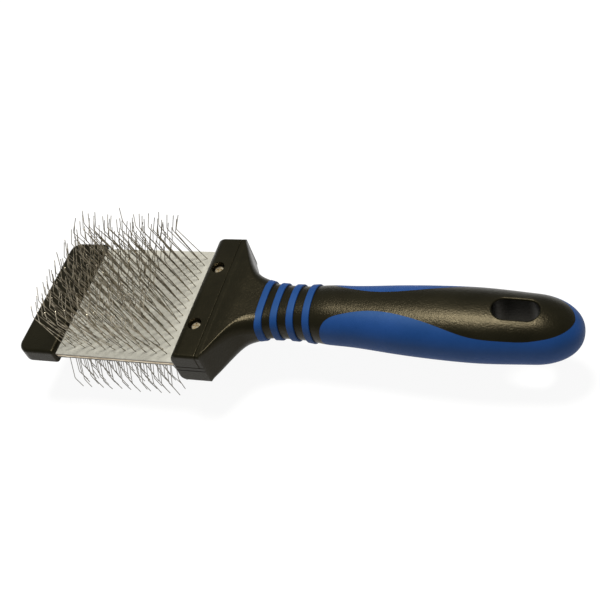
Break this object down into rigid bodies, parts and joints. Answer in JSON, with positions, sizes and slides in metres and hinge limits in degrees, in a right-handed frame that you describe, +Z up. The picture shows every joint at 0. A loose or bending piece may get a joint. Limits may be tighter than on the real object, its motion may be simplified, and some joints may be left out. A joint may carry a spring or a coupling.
{
  "type": "slicker brush",
  "caption": "Double-sided slicker brush: bent wire pins on a flexing pad between a screwed clamp and an end cap, with a two-tone oval handle and hang slot.",
  "frame": {"origin": "centre of the whole brush: on the plane where the two pads meet, midway across, midway between the end cap and the butt", "axes": "+X along the handle from the head towards the butt, +Y across the brush, +Z up out of the top pad"},
  "size_m": [0.2198, 0.06, 0.0561],
  "materials": {
    "black_plastic": "satin black moulding with an olive-brown sheen",
    "blue_grip": "matte blue overmould",
    "pin_cloth": "fine light grey felt",
    "spring_steel": "rolled strip, slightly bronzed",
    "pin_wire": "drawn wire",
    "screw_steel": "bright plated"
  },
  "bodies": {
    "handle": {"handle_core": "black_plastic", "grip_sleeve": "blue_grip", "grip_ring_1": "blue_grip", "grip_ring_2": "blue_grip", "grip_ring_3": "blue_grip", "grip_ring_4": "blue_grip", "clamp_bar": "black_plastic", "clamp_shim": "black_plastic", "clamp_screws": "screw_steel", "spring_plate_top": "spring_steel", "spring_plate_bottom": "spring_steel", "pin_cloth_top": "pin_cloth", "pin_cloth_bottom": "pin_cloth"},
    "head_near": {"pins_top_01": "pin_wire", "pins_top_02": "pin_wire", "pins_top_03": "pin_wire", "pins_bottom_01": "pin_wire", "pins_bottom_02": "pin_wire", "pins_bottom_03": "pin_wire"},
    "head_middle": {"pins_top_04": "pin_wire", "pins_top_05": "pin_wire", "pins_top_06": "pin_wire", "pins_top_07": "pin_wire", "pins_bottom_04": "pin_wire", "pins_bottom_05": "pin_wire", "pins_bottom_06": "pin_wire", "pins_bottom_07": "pin_wire"},
    "head_tip": {"pins_top_08": "pin_wire", "pins_top_09": "pin_wire", "pins_top_10": "pin_wire", "pins_top_11": "pin_wire", "pins_bottom_08": "pin_wire", "pins_bottom_09": "pin_wire", "pins_bottom_10": "pin_wire", "pins_bottom_11": "pin_wire", "end_cap": "black_plastic"}
  },
  "joints": [
    {"name": "head_flex_root", "type": "hinge", "parent": "handle", "child": "head_near", "pos_m": [-0.03945, 0, 0], "axis": [0, 1, 0], "range_deg": [-9, 9], "stiffness_Nm_per_rad": 2, "deforming": ["spring_plate_top", "spring_plate_bottom", "pin_cloth_top", "pin_cloth_bottom"]},
    {"name": "head_flex_middle", "type": "hinge", "parent": "head_near", "child": "head_middle", "pos_m": [-0.0557, 0, 0], "axis": [0, 1, 0], "range_deg": [-7.2, 7.2], "stiffness_Nm_per_rad": 2},
    {"name": "head_flex_tip", "type": "hinge", "parent": "head_middle", "child": "head_tip", "pos_m": [-0.0743, 0, 0], "axis": [0, 1, 0], "range_deg": [-4.5, 4.5], "stiffness_Nm_per_rad": 2}
  ],
  "couplings": [
    {"joint": "head_flex_middle", "follows": "head_flex_root", "ratio": 0.8},
    {"joint": "head_flex_tip", "follows": "head_flex_root", "ratio": 0.5}
  ]
}
